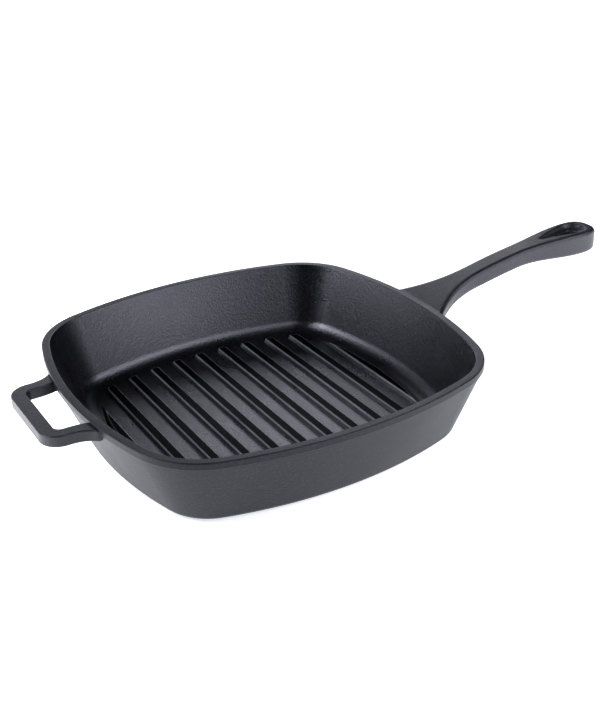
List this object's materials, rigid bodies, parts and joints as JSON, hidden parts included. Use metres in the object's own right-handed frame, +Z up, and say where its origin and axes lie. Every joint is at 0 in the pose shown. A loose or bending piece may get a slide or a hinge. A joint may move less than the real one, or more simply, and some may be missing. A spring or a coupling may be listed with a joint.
{
  "type": "square grill pan",
  "caption": "Square cast iron grill pan with flared bowed sides, raised ribs across its floor, a long handle with a hanging hole and a loop handle opposite.",
  "frame": {"origin": "centre of the flat base, on the surface that the pan stands on", "axes": "+X along the long handle, away from the body; +Y along the ribs; +Z up"},
  "size_m": [0.4448, 0.255, 0.0744],
  "materials": {
    "seasoned_iron": "sand-cast grain under a satin black seasoning",
    "rim_iron": "finer grain, rubbed smoother along the rim",
    "rib_iron": "dark seasoned tops with edges worn lighter"
  },
  "bodies": {
    "root": {"base_plate": "seasoned_iron", "side_wall": "seasoned_iron", "long_handle": "seasoned_iron", "loop_handle": "seasoned_iron", "rim": "rim_iron", "grill_rib_01": "rib_iron", "grill_rib_02": "rib_iron", "grill_rib_03": "rib_iron", "grill_rib_04": "rib_iron", "grill_rib_05": "rib_iron", "grill_rib_06": "rib_iron", "grill_rib_07": "rib_iron", "grill_rib_08": "rib_iron", "grill_rib_09": "rib_iron", "grill_rib_10": "rib_iron", "grill_rib_11": "rib_iron"}
  },
  "joints": []
}
